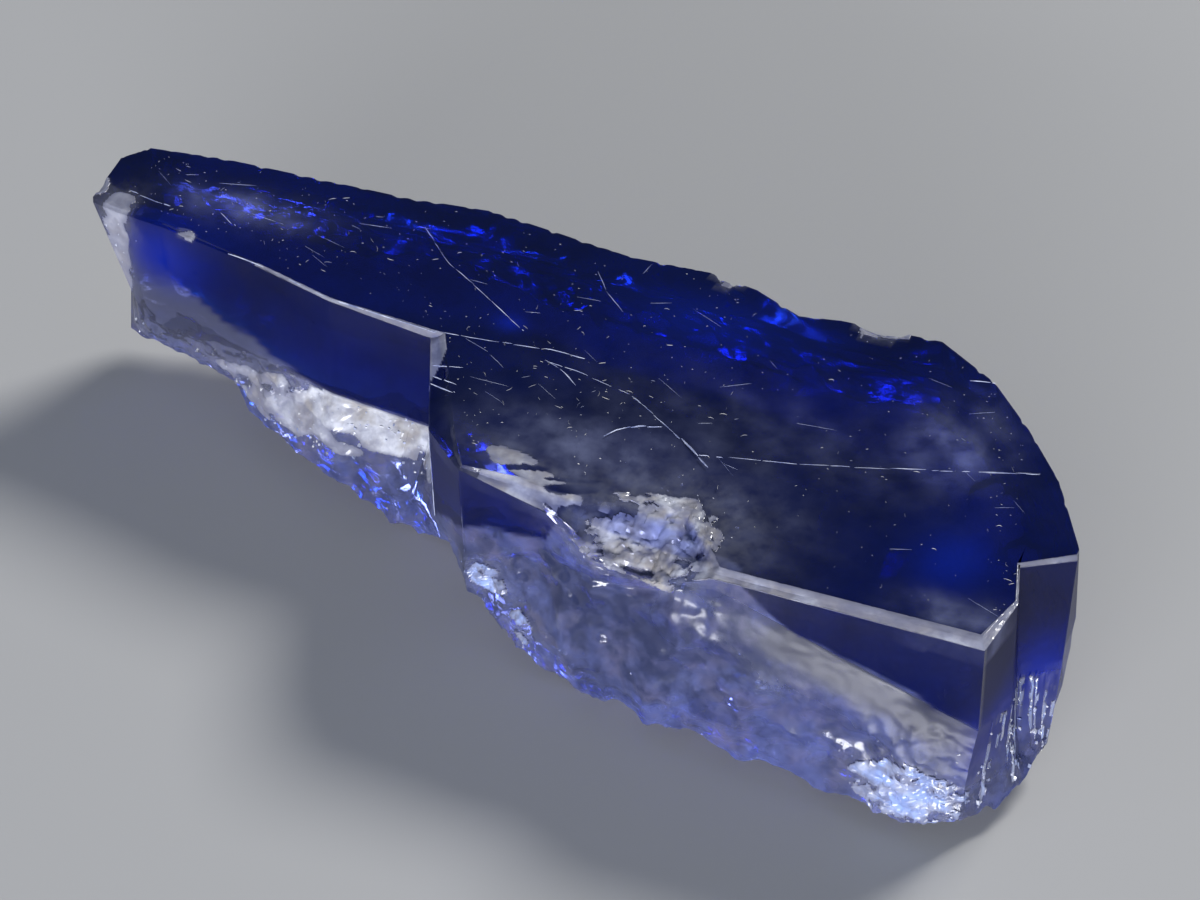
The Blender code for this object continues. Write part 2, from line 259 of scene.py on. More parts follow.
def near(value, middle, spread):
    """A soft bump: 1 at the middle and falling like a bell curve with that spread."""
    return np.exp(-(((value - middle) / spread) ** 2))


def step_up(value, low, high):
    """0 below low, 1 above high, with a smooth cubic between: t * t * (3 - 2t)."""
    t = np.clip((value - low) / (high - low), 0.0, 1.0)
    return t * t * (3 - 2 * t)


along, across, height = np.moveaxis(skin, -1, 0)
front_side = np.isin(side, (FLANK, TOE))
crumble = np.maximum.reduce([
    # a little everywhere, then the near right foot, below the near corner, the toe, the thin half's ledge
    np.full_like(along, 0.18),
    front_side * step_up(along, 9.5, 13.5) * (1 - step_up(height, 3.2, 4.6)),
    front_side * near(along, -0.6, 2.6) * (1 - step_up(height, 3.0, 4.6)),
    front_side * (1 - step_up(height, 0.9, 2.0)) * 0.35,
    front_side * (1 - step_up(along, -5.5, -4.0)) * step_up(height, 1.2, 2.4),
])
print("share of the skin that crumbles:", round(float((crumble * broken > 0.4).mean()), 3))

# %% [markdown]
# ## Relief of the break
# Large and small bowls go all over the flank, and steps and grains only where it crumbles. It stays calm
# in the glassy band under the broad half's front edge, and the narrow end faces carry upright striations,
# a sum of two sines. A noise texture could stand in for this, but cells give the sharp ridges of broken
# salt.

# %% Break the skin
# Size of a cell, depth of its relief and the level in it that stays where the skin was
SMALL_BOWLS = (0.6, 0.2, 0.4)
FINE_RELIEFS = ((0.62, 0.4, 0.12), (0.3, 0.14, 0.12))
TONE_SHARES = (0.6, 0.4)
BAND_END, BAND_SLOPE, BAND_CALM = 16.0, 0.35, 0.85
STRIPE_DEPTH, STRIPE_LEVEL = 0.16, 0.7
CRUSH_DEPTH = 0.2
quiet = front_side * near(along, 9.5, 3.2) * near(height, 4.6, 1.6)
above_band = height - BAND_SLOPE * (BAND_END - along)
calm_band = front_side * step_up(along, 6.5, 8.5) * step_up(above_band, 1.6, 2.7)
glassy = (1 - 0.45 * front_side * (1 - crumble)) * (1 - 0.6 * quiet)
rise, bowl_tone = swell.copy(), np.zeros_like(swell)
for seed, (size, depth) in enumerate(BOWLS):
    calm = 1.0 if seed == 0 else glassy
    level, tone = cells(skin, size, seed)
    rise += broken * depth * calm * (1 - BAND_CALM * calm_band) * (level - BOWL_LEVEL)
    bowl_tone += TONE_SHARES[seed] * tone
size, depth, small_middle = SMALL_BOWLS
small_level = cells(skin, size, seed=15)[0]
rise += broken * front_side * (1 - np.maximum(calm_band, 0.6 * quiet)) * depth * (small_level - small_middle)
for seed, (size, depth, middle) in enumerate(FINE_RELIEFS, 11):
    rise += broken * crumble * depth * (cells(skin, size, seed, square=seed == 11)[0] - middle)
striped = front_side * step_up(row, END_FRONT + 0.05, END_FRONT + 0.4) * step_up(height, 0.9, 1.6)
stripes = np.abs(np.sin(row * 17.0) + 0.6 * np.sin(row * 37.0 + 1.3)) - STRIPE_LEVEL
rise += striped * STRIPE_DEPTH * stripes
crushed = near(along, 4.2, 2.5) * step_up(-across, 4.6, 5.8) * step_up(height, 4.9, 6.2)
facets = cells(skin, 0.7, seed=13, square=True)[0] + 0.35 * cells(skin, 0.33, seed=14, square=True)[0]
rise -= CRUSH_DEPTH * crushed * np.clip(facets * 3, 0, 1.4)
ways = outward(skin)
skin = skin + ways * rise[..., None]
print("relief in millimetres, deepest and highest:", round(float(rise.min()), 2), round(float(rise.max()), 2))

# %% [markdown]
# ## Chips and shells
# A knock takes a rounded bite out of an edge. Each bite is a ball: points inside it move straight out to
# its surface. One very large ball gives the shallow shell on the top, whose rim catches the light as an
# arc. The back edge of the top is also worn in small nicks. A boolean would cut the same bites, but it
# leaves new vertices that no row or column of the grid owns.

# %% Bites
# Centre and radius of the balls
SHELL = ((3.2, -5.9, 26.5), 19.45)
CHIPS = (
    ((2.4, 6.2, 8.6), 1.4), ((8.0, 5.9, 8.9), 1.9), ((-20.1, 2.6, 8.3), 1.1), ((-15.9, 1.0, 8.2), 0.95),
)


def bitten(points, centre, radius):
    """The points, with every one inside the ball pushed straight out to the ball's surface."""
    offset = points - np.array(centre)
    distance = np.linalg.norm(offset, axis=-1, keepdims=True)
    return np.where(distance < radius, np.array(centre) + offset * radius / distance, points)


for centre, radius in (SHELL, *CHIPS):
    before = skin
    skin = bitten(skin, centre, radius)
    print("bite at", centre[:2], "moved", int((skin != before).any(axis=-1).sum()), "points")

# %% Wear and walls
WEAR, WEAR_DOWN = 0.06, 0.6
WEAR_OVER_TOP, WEAR_DOWN_WALL = 0.15, 0.3
TOP_LEVEL = HEIGHT - 0.03
YIELD = 0.5
back_edge = skin[:, :1, 1]
waves = np.sin(11 * row + 2 * np.sin(5.3 * row)) + 0.6 * np.sin(29 * row + 0.7)
over_top, down_wall = (back_edge - skin[..., 1]) / WEAR_OVER_TOP, (HEIGHT - skin[..., 2]) / WEAR_DOWN_WALL
from_edge = np.where(side == TOP, over_top, down_wall)
nicks = WEAR * np.clip(waves - 0.2, 0, 2)
nicks = nicks * np.isin(side, (TOP, BACK_WALL)) * np.exp(-np.maximum(from_edge, 0.0))
skin[..., 1] -= nicks
skin[..., 2] -= WEAR_DOWN * nicks
skin[..., 2] = np.clip(skin[..., 2], 0.0, TOP_LEVEL)


def yielding(gap):
    """A distance to a wall that is never 0: below YIELD it is YIELD * e ** ((gap - YIELD) / YIELD)."""
    return np.where(gap < YIELD, YIELD * np.exp((gap - YIELD) / YIELD), gap)


front_limit, back_limit = cad_low[1] / MM - ORIGIN[1], cad_high[1] / MM - ORIGIN[1]
skin[..., 1] = front_limit + yielding(skin[..., 1] - front_limit)
skin[..., 1] = np.where(side >= HEEL, back_limit - yielding(back_limit - skin[..., 1]), skin[..., 1])
print("deepest nick in millimetres:", round(float(nicks.max()), 3))

# %% [markdown]
# ## Where the salt is blue, crushed or veiled
# The blue is a zone in clear salt, with a sharp lower boundary that the front faces cut open. It isn't
# paint, so each mask here and below is a rule about a place in the stone and not a picture: first the
# height of the zone's foot along the front, and the places that are dulled by fine wear or glassy and
# pale. Every vertex keeps the masks as attributes, and the material reads them.

# %% Masks
X, Y, Z = np.moveaxis(skin, -1, 0)
ZONE_FOOT = (
    # x, height of the blue zone's foot on the front faces
    (-20.0, 9.0), (-18.5, 7.9), (-17.9, 7.0), (-17.3, 6.1), (-16.4, 5.1), (-15.1, 4.6), (-13.7, 4.15),
    (-11.8, 3.7), (-9.9, 3.2), (-6.0, 3.2), (-4.1, 3.4), (-2.0, 4.9), (0.0, 5.5), (1.0, 5.8), (1.9, 8.0),
    (6.8, 8.2), (7.8, 7.4), (8.8, 6.7), (10.1, 5.8), (11.1, 5.7), (13.1, 5.1), (14.8, 4.4), (16.1, 3.9),
    (17.6, 3.5),
)
ZONE_INSIDE = 3.3


zone_x, zone_z = np.array(ZONE_FOOT).T


def foot_height(x, behind_front):
    """Height of the blue zone's foot, which is ZONE_FOOT's line at the front face and ZONE_INSIDE further
    in, and how far in a point is, from 0 to 1."""
    further_in = step_up(behind_front, 0.5, 2.4)
    return np.interp(x, zone_x, zone_z) * (1 - further_in) + ZONE_INSIDE * further_in, further_in


def wobble(points, size, seed):
    """Smooth random waves, about -1 to 1: a sum of six sines in seeded directions, with wavelengths near
    the size."""
    rng = np.random.default_rng(seed)
    ways_in = rng.normal(size=(6, 3))
    ways_in *= (rng.uniform(0.6, 1.5, (6, 1)) * 2 * math.pi / size) / np.linalg.norm(ways_in, axis=1)[:, None]
    return sum(np.sin(points @ way + phase) for way, phase in zip(ways_in, rng.uniform(0, 7, 6))) / 3.0


rough_wobble = wobble(skin, 1.6, seed=21)
fine_wobble = wobble(skin, 0.5, seed=22)
end_face = (side == CLEAVAGE) * step_up(row, END_FRONT + 0.02, END_FRONT + 0.1)
above_pale = Z - 0.3 * (BAND_END - X) + 0.1 * rough_wobble
pale_band = front_side * step_up(X, 8.0, 10.0) * step_up(above_pale, 2.7, 3.4)
dulled = np.maximum.reduce([
    # the calm band and its middle, two places on the crushed bevel and the narrow face by the near corner
    calm_band,
    0.4 * quiet,
    0.9 * near(X, 2.6, 0.8) * near(Z, 6.3, 0.6),
    0.7 * near(X, 6.4, 2.0) * near(Z, 5.3, 1.4),
    1.5 * end_face * (row < NOTCH),
])
front_x, front_y, _ = edge_points(TOP_FRONT, sections).T
blue = step_up(Z - foot_height(X, Y - np.interp(X, front_x, front_y))[0] + 0.12 * rough_wobble, -0.08, 0.1)
print("share of the skin that is blue:", round(float(blue.mean()), 2))

# %% [markdown]
# ## The crushed places, with painted highlights and sparkles
# Where a blow crushed the salt it is white, in some places whiter and lumpier than in others. Each place
# is a soft bump in one table, from the bevel and the rims to the ledge of the thin half, the snowy near
# right foot and the chips. Some of the white is painted light: on the left rim it is a painted highlight
# of the edge catching light, below the near corner and on the flank it is painted sparkle and a painted
# glint, and at the near right foot it is crumbled salt with painted sparkle in it. Paint would do too, but
# a table can be read and moved.

# %% Crushed places, painted highlights and sparkles
CHIP_RIM = 0.06
chipped = np.zeros_like(X)
for centre, radius in CHIPS:
    chipped = np.maximum(chipped, np.linalg.norm(skin - np.array(centre), axis=-1) < radius + CHIP_RIM)
on_rim, on_flank, on_toe = side == RIM, side == FLANK, side == TOE
streak = (Z > 6.9) * near(Y + 0.3 * X, -5.9, 0.62) * near(X, 0.4, 2.2)
striations = front_side * step_up(row, END_FRONT + 0.1, END_FRONT + 0.4)
striations = striations * (stripes + 0.3 * fine_wobble > 0.25)
flaky = front_side * step_up(X, -2.0, 0.0) * step_up(small_level, 0.5, 0.9)
CRUSHED_AND_GLINT_PLACES = (
    # where, how white, how lumpy
    (near(X, 4.6, 2.7) * near(Y, -6.9, 2.3) * step_up(Z, 5.8, 6.25), 1.0, 0.7),
    (np.minimum(1.25 * streak, 1.0), 0.55, 0.0),
    (on_rim * near(X, -0.4, 1.9), 0.5, 0.0),
    (on_rim * step_up(X, 6.0, 7.0), 0.5 - 0.3 * step_up(Z, 7.2, 7.38), 0.2),
    # painted highlight: white along the left rim, where the edge catches light
    (on_rim * step_up(X, -13.5, -12.5) * (X < -5), 0.3, 0.0),
    (on_flank * near(X, -8.6, 4.0) * near(Z, 2.9, 0.75) * 1.15, 1.0, 0.2),
    (on_flank * near(X, -11.5, 4.0) * near(Z, 2.2, 0.9) * 0.9, 0.4, 0.0),
    # crumbled salt at the near right foot, with painted sparkle in its white
    (front_side * near(X, 14.3, 2.2) * near(Z, 1.5, 1.2), 0.85, 1.0),
    (striations * near(Z, 2.5 + 0.9 * np.sin(5 * row), 1.3), 0.6, 0.0),
    # painted sparkles below the near corner, then a painted glint on the flank
    (on_flank * near(X, -1.3, 1.1) * near(Z, 2.9, 0.9) * 0.75, 0.9, 1.0),
    (on_flank * near(X, 0.2, 1.0) * near(Z, 1.8, 1.0) * 0.6, 0.8, 1.0),
    (front_side * near(X, 9.5, 1.2) * near(Z, 4.1, 0.9) * 0.4, 1.0, 0.0),
    (flaky * 0.5 * (1 - dulled), 0.45, 0.4),
    (near(X, -18.7, 0.6) * near(Y, 1.9, 0.9) * (Z > 3.0), 0.3, 0.0),
    (chipped * 0.6, 0.35, 0.3),
)
frost_and_glint, white, lumpy = (np.zeros_like(X) for _ in range(3))
for place, how_white, how_lumpy in CRUSHED_AND_GLINT_PLACES:
    white = np.where(place > frost_and_glint, how_white, white)
    lumpy = np.where(place > frost_and_glint, how_lumpy, lumpy)
    frost_and_glint = np.maximum(frost_and_glint, place)
RIGHT_WAY, AWAY_WAY = np.array((0.927, 0.375)), np.array((-0.375, 0.927))
RIPPLES = (
    # x, y, half length, half width of the clear lenses in the white streak by the near corner
    (-0.43, -5.81, 0.95, 0.14), (1.34, -5.55, 0.95, 0.10), (1.45, -5.95, 0.85, 0.22),
)
ripple = np.zeros_like(X)
for x, y, half_length, half_width in RIPPLES:
    offset = np.stack([X - x, Y - y], axis=-1)
    reach = (offset @ RIGHT_WAY / half_length) ** 2 + (offset @ AWAY_WAY / half_width) ** 2
    ripple = np.maximum(ripple, (1 - step_up(reach, 0.8, 1.3)) * (Z > 6.8))
frost_and_glint = frost_and_glint * (1 - ripple)
blue = np.maximum(blue, ripple)
print("share of the skin that is crushed:", round(float((frost_and_glint > 0.5).mean()), 3))

# %% [markdown]
# ## Veils, and painted glints of bright blue
# Under the top the photo shows soft grey veils and patches of a brighter blue, which are bumps too. The
# bright blue patches are painted glints: light reflected inside the salt, put into its colour. Below the
# zone the salt is lilac, by lot paler or deeper in each bowl, and nearly without colour at the thin end's
# foot and in the glassy band.

# %% Veils and painted glints
VEILS = (
    # x, spread in x, y, spread in y, how grey
    (1.6, 3.8, -4.3, 1.7, 1.0), (12.2, 1.6, 0.4, 1.9, 0.9), (-14.5, 2.3, 3.4, 0.8, 1.0),
    (15.2, 1.8, -7.4, 0.8, 1.0), (4.9, 3.6, -6.2, 2.3, 0.8), (6.0, 6.5, -1.6, 2.2, 0.28),
)
VEIL_FLOOR, JOG_VEIL = 6.6, 0.7
jog_face = (side == CLEAVAGE) * step_up(row, INNER_CORNER + 0.02, INNER_CORNER + 0.1)
jog_face = jog_face * (1 - step_up(row, JOG - 0.1, JOG))
veil = np.maximum.reduce([grey * near(X, x, wide) * near(Y, y, deep) for x, wide, y, deep, grey in VEILS])
veil = np.maximum((Z > VEIL_FLOOR) * veil, JOG_VEIL * jog_face)
veil = np.clip(veil * (1 + 0.5 * rough_wobble), 0, 1)
# painted glints: brighter blue where light reflected inside the salt, put into the colour
painted_blue_glint = np.maximum.reduce([
    near(X, 14.0, 1.2) * near(Y, -4.9, 1.5),
    near(X, -16.9, 1.6) * near(Z, 6.0, 1.2) * (Y < 2.2),
    near(X, -3.6, 0.5) * near(Y, 0.9, 0.4),
    0.6 * near(X, 2.5, 3.0) * near(Y, 3.6, 1.4),
    on_flank * near(X, -7.6, 1.6) * near(Z, 3.5, 0.35) * (fine_wobble > 0.1),
    near(X, 16.9, 1.0) * near(Z, 3.4, 1.2),
])
colourless = np.maximum((X < -9.0) * step_up(-X, 10.0, 13.0) * step_up(Z, 1.4, 2.4), pale_band)
upper_flank = on_flank * step_up(X, -1.5, 0.5) * step_up(Z, 3.2, 4.6)
glow = np.clip(0.1 + 0.9 * bowl_tone + 0.4 * on_toe - 0.35 * upper_flank + 0.1 * rough_wobble, 0, 1)
masks = {
    "blue": blue, "frost_and_glint": frost_and_glint, "veil": veil, "painted_blue_glint": painted_blue_glint, "glow": glow,
    "colourless": colourless, "dulled": dulled, "broken": np.clip(broken, 0, 1),
}
for name, mask in masks.items():
    print(f"{name}: mean {mask.mean():.2f}, most {mask.max():.2f}")

# %% [markdown]
# ## From grid to mesh
# The rows are joined into a tube that closes around the stone, and each end is drawn in ring by ring to
# one point, so the skin is one closed surface with no doubled vertices. Faces are told to look outward by
# the sign of the volume they enclose. Ridges stay sharp and the rest is shaded smooth, by the angle
# between faces.

# %% Build the crystal
CAP_RINGS = 8
SHARP_ANGLE = math.radians(32)
ROOT = "root"


def capped(values):
    """A grid of values with CAP_RINGS more rows at each end, evenly drawn in to the end's mean, and the two
    means themselves for the poles."""
    shares = (np.arange(1, CAP_RINGS + 1) / (CAP_RINGS + 1)).reshape(-1, *[1] * (values.ndim - 1))
    first, last = values[0].mean(axis=0), values[-1].mean(axis=0)
    before = (values[0] + (first - values[0]) * shares)[::-1]
    after = values[-1] + (last - values[-1]) * shares
    return np.concatenate([before, values, after]), first, last


def wrapped_quads(rows, columns):
    """Quads of a grid whose columns wrap around, with each point's number and its next neighbour's."""
    number = np.arange(rows * columns).reshape(rows, columns)
    beside = np.roll(number, -1, axis=1)
    quads = np.stack([number[:-1], number[1:], beside[1:], beside[:-1]], axis=-1).reshape(-1, 4)
    return quads, number, beside


def closed_tube(rows, columns):
    """Faces of a wrapped grid, with a fan of triangles to a pole at each end. The poles are the two vertices
    after the grid."""
    quads, number, beside = wrapped_quads(rows, columns)
    first, last = rows * columns, rows * columns + 1
    fans = [(first, a, b) for a, b in zip(number[0], beside[0])]
    fans += [(last, b, a) for a, b in zip(number[-1], beside[-1])]
    return quads.tolist() + [tuple(int(v) for v in fan) for fan in fans]


def enclosed_volume(points, faces):
    """Signed volume: a sixth of the sum of a . (b x c) over the triangles that the faces fan into."""
    corners = np.array([(f[0], f[k], f[k + 1]) for f in faces for k in range(1, len(f) - 1)])
    a, b, c = points[corners].transpose(1, 0, 2)
    return float(np.einsum("ij,ij->i", a, np.cross(b, c)).sum() / 6)


def linked(name, data):
    """An object that shows the data, linked into the scene."""
    thing = bpy.data.objects.new(name, data)
    bpy.context.scene.collection.objects.link(thing)
    return thing


def new_mesh(name, points, faces, material):
    """An object at the origin from points in metres."""
    mesh = bpy.data.meshes.new(name)
    mesh.from_pydata(points.tolist(), [], faces)
    mesh.materials.append(material)
    return linked(name, mesh)


def new_piece(name, points, faces, material):
    """An object from the skin's points in millimetres, with its faces turned outward."""
    points = np.asarray(points) + ORIGIN
    if enclosed_volume(points, faces) < 0:
        faces = [tuple(reversed(face)) for face in faces]
    return new_mesh(name, points * MM, faces, material)


def add_mask(piece, name, values):
    """One number for each vertex, which a material can read by the name."""
    piece.data.attributes.new(name, "FLOAT", "POINT").data.foreach_set("value", np.ravel(values).astype("f"))


salt = bpy.data.materials.new("blue_salt")
grid, first_pole, last_pole = capped(skin)
points = np.concatenate([grid.reshape(-1, 3), [first_pole, last_pole]])
faces = closed_tube(*grid.shape[:2])
crystal = new_piece("halite_cleavage_fragment", points, faces, salt)
for name, mask in masks.items():
    rows, first_value, last_value = capped(mask)
    add_mask(crystal, name, np.concatenate([rows.ravel(), [first_value, last_value]]))
crystal.data.shade_smooth()
crystal.data.set_sharp_from_angle(angle=SHARP_ANGLE)
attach(crystal, ROOT)
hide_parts("halite_crystal")
print("crystal volume in cubic millimetres:", round(abs(enclosed_volume(points, faces)), 1))
print("crystal triangles:", sum(len(face) - 2 for face in faces))

# %% [markdown]
# ## The blue zone
# The zone is a slab under the top face: its outline is the top's own outline, a hair inside the skin, and
# its underside is the zone's foot. It has no surface to see, only a volume that absorbs red and green, so
# its shape shows as depth of colour. Colouring the skin alone would look like paint, because light that
# comes in through the clear part could leave again without meeting any blue.

# %% Build the zone
ZONE_GAP = 0.06
BACK_GAP = 0.4
ZONE_LENGTH_SHARE = 0.994
ZONE_ROWS_STEP = 0.5
ZONE_COLUMNS = 24
ZONE_DOWN = 0.08
ZONE_TOP = TOP_LEVEL - ZONE_DOWN
THINNEST = 0.02
THIN_PLACES = (
    # x, y, spread in x, spread in y, how much of the zone is missing
    (0.6, -4.9, 3.8, 1.5, 0.85), (12.2, 0.6, 1.5, 1.8, 0.5), (-14.5, 3.4, 2.3, 0.8, 0.4),
)


def zone_foot(x, y, front):
    """Height of the zone's underside: the foot's height, raised where the zone is thin and gently uneven
    further in."""
    height_here, further_in = foot_height(x, y - front)
    for middle_x, middle_y, spread_x, spread_y, missing in THIN_PLACES:
        share = missing * near(x, middle_x, spread_x) * near(y, middle_y, spread_y)
        height_here = height_here + (ZONE_TOP - height_here) * share
    place = np.stack([x, y, 0 * x], axis=-1)
    return height_here + 0.3 * wobble(place, 5.0, seed=31) * further_in


def at_height(upper, lower, z):
    """Where a line between two edges passes height z."""
    share = (upper[:, 2] - z) / (upper[:, 2] - lower[:, 2])
    return upper + (lower - upper) * np.clip(share, 0, 1)[:, None]


zone_sections = section_numbers(ZONE_ROWS_STEP)
fronts, feet = edge_points(TOP_FRONT, zone_sections), edge_points(FRONT_FOOT, zone_sections)
backs, mids, lows = (edge_points(edge, zone_sections) for edge in (TOP_BACK, BACK_MID, BACK_LOW))
front_line = np.interp(fronts[:, 0], zone_x, zone_z)
low_fronts = at_height(fronts, feet, np.minimum(front_line, 7.2))
low_backs = at_height(mids, lows, np.full(len(mids), ZONE_INSIDE))
share = np.linspace(0, 1, ZONE_COLUMNS)[None, :, None]
upper = fronts[:, None] * (1 - share) + backs[:, None] * share
lower = low_fronts[:, None] * (1 - share) + low_backs[:, None] * share
front_gap = np.array((0.0, ZONE_GAP, 0.0)) * (1 - share)
upper = upper + front_gap - np.array((0.0, ZONE_GAP, 0.0)) * share
lower = lower + front_gap - np.array((0.0, BACK_GAP, 0.0)) * share
upper[..., 2] = ZONE_TOP
lower[..., 2] = zone_foot(lower[..., 0], lower[..., 1], low_fronts[:, None, 1])
lower[..., 2] = np.minimum(lower[..., 2], ZONE_TOP - THINNEST)
down = np.array((0, 0, ZONE_DOWN))
upper = np.minimum(upper, bitten(upper + down, *SHELL) - down)
lower[..., 2] = np.minimum(lower[..., 2], upper[..., 2] - THINNEST)
slab = np.concatenate([upper, lower[:, ::-1]], axis=1)
slab[..., 0] *= ZONE_LENGTH_SHARE
slab_grid, first_pole, last_pole = capped(slab)
zone_points = np.concatenate([slab_grid.reshape(-1, 3), [first_pole, last_pole]])
zone_salt = bpy.data.materials.new("blue_zone")
zone = new_piece("blue_colour_zone", zone_points, closed_tube(*slab_grid.shape[:2]), zone_salt)
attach(zone, ROOT)
print("zone rows and columns:", slab.shape[:2])

# %% [markdown]
# ## The crushed crust
# Where a blow crushed the salt, thousands of tiny cleavage cracks turn it white. The crust over such a
# place is a thin skin of its own, cut from the same grid at twice the density, so it can have a whiter and
# duller finish than the clear salt. It covers the faces where the crushed mask is strong enough, and a few
# waves and lots drawn cell by cell fray its outline. Where that mask is painted highlight and sparkle, on
# the left rim, below the near corner and at the near right foot, the crust carries that painted light too.
# One more mask in the clear salt's finish would be simpler, but clear salt lets most light through and
# can't look white.

# %% Build the crust
CRUST_AT = 0.52
CRUST_FOOT = -0.03
CRUST_LIFT = 0.012
# Size and height of the crust's small blocks, then how far its outline frays and over what size
CRUST_FACET = (0.22, 0.075)
OUTLINE_WAVES, OUTLINE_LOTS = (0.2, 0.6), (0.3, 0.24)
BOX_GAP = 0.006


def finer(values):
    """The grid with one more point midway between every two, along the rows and then around the columns."""
    tall = np.repeat(values, 2, axis=0)[:-1]
    tall[1::2] = (values[:-1] + values[1:]) / 2
    wide = np.repeat(tall, 2, axis=1)
    wide[:, 1::2] = (tall + np.roll(tall, -1, axis=1)) / 2
    return wide


def shell(top, bottom, quads):
    """Chosen quads of a surface as a closed crust: the quads on top, the same ones turned over underneath,
    and a wall along every edge that only one quad has. Unused points are left out."""
    edges = np.concatenate([quads[:, [k, (k + 1) % 4]] for k in range(4)])
    _, first, count = np.unique(np.sort(edges, axis=1), axis=0, return_index=True, return_counts=True)
    rim = edges[first[count == 1]]
    walls = np.stack([rim[:, 1], rim[:, 0], rim[:, 0] + len(top), rim[:, 1] + len(top)], axis=-1)
    every_face = np.concatenate([quads, quads[:, ::-1] + len(top), walls])
    used, number = np.unique(every_face, return_inverse=True)
    return np.concatenate([top, bottom])[used], number.reshape(every_face.shape).tolist(), used


fine_skin = finer(skin)
slope_along = np.gradient(fine_skin, axis=0)
slope_around = np.roll(fine_skin, -1, axis=1) - np.roll(fine_skin, 1, axis=1)
face_ways = np.cross(slope_along, slope_around)
face_ways /= np.maximum(np.linalg.norm(face_ways, axis=-1, keepdims=True), 1e-9)
face_ways *= np.sign(np.sum(face_ways * finer(ways), axis=-1, keepdims=True))
chance = 0.25 + 0.75 * finer(lumpy)
stretched = fine_skin * np.array((0.35, 1.0, 1.0))
lots = cells(fine_skin, OUTLINE_LOTS[1], seed=25)[1] - 0.5
bite_off = OUTLINE_WAVES[0] * wobble(stretched, OUTLINE_WAVES[1], seed=24) + OUTLINE_LOTS[0] * chance * lots
ragged = finer(frost_and_glint) + bite_off * step_up(finer(frost_and_glint), 0.25, 0.6)
ragged = np.where(finer((side == SOLE).astype(float)) > 0, 0.0, ragged)
facet = np.clip(3 * cells(fine_skin, CRUST_FACET[0], seed=26, square=True)[0], 0, 1) * CRUST_FACET[1]
crust_top = fine_skin + face_ways * (CRUST_LIFT + facet * finer(lumpy))[..., None]
box_low, box_high = np.array(cad_low) / MM - ORIGIN, np.array(cad_high) / MM - ORIGIN
crust_top = np.clip(crust_top, box_low + BOX_GAP, box_high - BOX_GAP)
crust_foot = np.clip(fine_skin + face_ways * CRUST_FOOT, box_low + BOX_GAP, box_high - BOX_GAP)
quads = wrapped_quads(*ragged.shape)[0]
quads = quads[ragged.ravel()[quads].mean(axis=1) > CRUST_AT]
crust_points, crust_faces, used = shell(crust_top.reshape(-1, 3), crust_foot.reshape(-1, 3), quads)
crushed_salt_and_sparkle = bpy.data.materials.new("crushed_salt_and_sparkle")
crust = new_piece("crushed_and_sparkle_crust", crust_points, crust_faces, crushed_salt_and_sparkle)
to_edge = step_up(ragged, CRUST_AT - 0.1, CRUST_AT + 0.3)
crust_tone = finer(white) * (0.7 + 0.5 * cells(fine_skin, 0.5, seed=27)[1]) * to_edge
# painted sparkle: below the near corner the crust turns sky blue, standing in for glints of light on the
# crumbs
painted_sparkle = finer(front_side * step_up(X, -6.0, -3.0) * (Z < 5.8))
for name, values in (("white", np.clip(crust_tone, 0, 1)), ("painted_sparkle", painted_sparkle)):
    add_mask(crust, name, np.tile(values.ravel(), 2)[used])
crust.data.shade_smooth()
crust.data.set_sharp_from_angle(angle=SHARP_ANGLE)
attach(crust, ROOT)
print("crust faces on top:", len(quads), "triangles:", 2 * len(crust_faces))

# %% [markdown]
# ## Scratches and painted edge highlights
# Salt is soft, so the top is full of fine scratches. A scratch throws up a burr on both sides, which is
# what shows as a white line. Each one here is a row of short low ridges, three-sided and closed, a few
# hundredths of a millimetre wide. The same pale ridges along the top's left front edge and along upright
# edges are painted highlights: they stand in for light that those edges catch. A bump map could draw them
# too, but real ridges keep their sharpness however close the camera comes.

# %% Ridges along lines
RIDGE_WIDTH = 0.045
RIDGE_HEIGHT = 0.026
SUNK = 0.01
LEAST_TAPER = 0.15


def ridge(path, width, height, out=(0.0, 0.0, 1.0)):
    """A closed ridge along a path on a face that looks out that way: at each point a left foot, a right foot
    and a crest. The width tapers to both ends as the root of a half sine."""
    path, out = np.asarray(path, float), np.array(out)
    left = np.cross(out, np.gradient(path, axis=0))
    left /= np.maximum(np.linalg.norm(left, axis=-1, keepdims=True), 1e-9)
    taper = np.sqrt(np.sin(np.linspace(LEAST_TAPER, math.pi - LEAST_TAPER, len(path))))[:, None]
    foot, crest = -SUNK * out, out * height * taper
    feet_at = [path + left * taper * width / 2 + foot, path - left * taper * width / 2 + foot]
    rings = np.stack([*feet_at, path + crest], axis=1)
    number = np.arange(len(path) * 3).reshape(-1, 3)
    beside = np.roll(number, -1, axis=1)
    sides = np.stack([number[:-1], beside[:-1], beside[1:], number[1:]], axis=-1).reshape(-1, 4)
    ends = [tuple(number[0][::-1]), tuple(number[-1])]
    return rings.reshape(-1, 3), [tuple(map(int, face)) for face in (*sides, *ends)]


def joined(parts):
    """Many small meshes as one: points put end to end and face numbers moved up by the points before."""
    points, faces, start = [], [], 0
    for part_points, part_faces in parts:
        points.append(part_points)
        faces.extend(tuple(start + v for v in face) for face in part_faces)
        start += len(part_points)
    return np.concatenate(points), faces


def dashes(line, rng, dash=(0.3, 1.5), gap=(0.0, 0.1), stray=0.018):
    """Cuts a line into short pieces with gaps, each a little off the line, as a hard grain skips."""
    line = np.asarray(line, float)
    run = np.concatenate([[0], np.cumsum(np.linalg.norm(np.diff(line, axis=0), axis=1))])
    at, pieces = 0.0, []
    while at < run[-1]:
        end = min(at + rng.uniform(*dash), run[-1])
        marks = np.linspace(at, end, 5)
        piece = np.stack([np.interp(marks, run, line[:, axis]) for axis in range(3)], axis=-1)
        piece[:, :2] += rng.normal(0, stray, 2) + rng.normal(0, stray / 4, (5, 2))
        pieces.append(piece)
        at = end + rng.uniform(*gap)
    return pieces


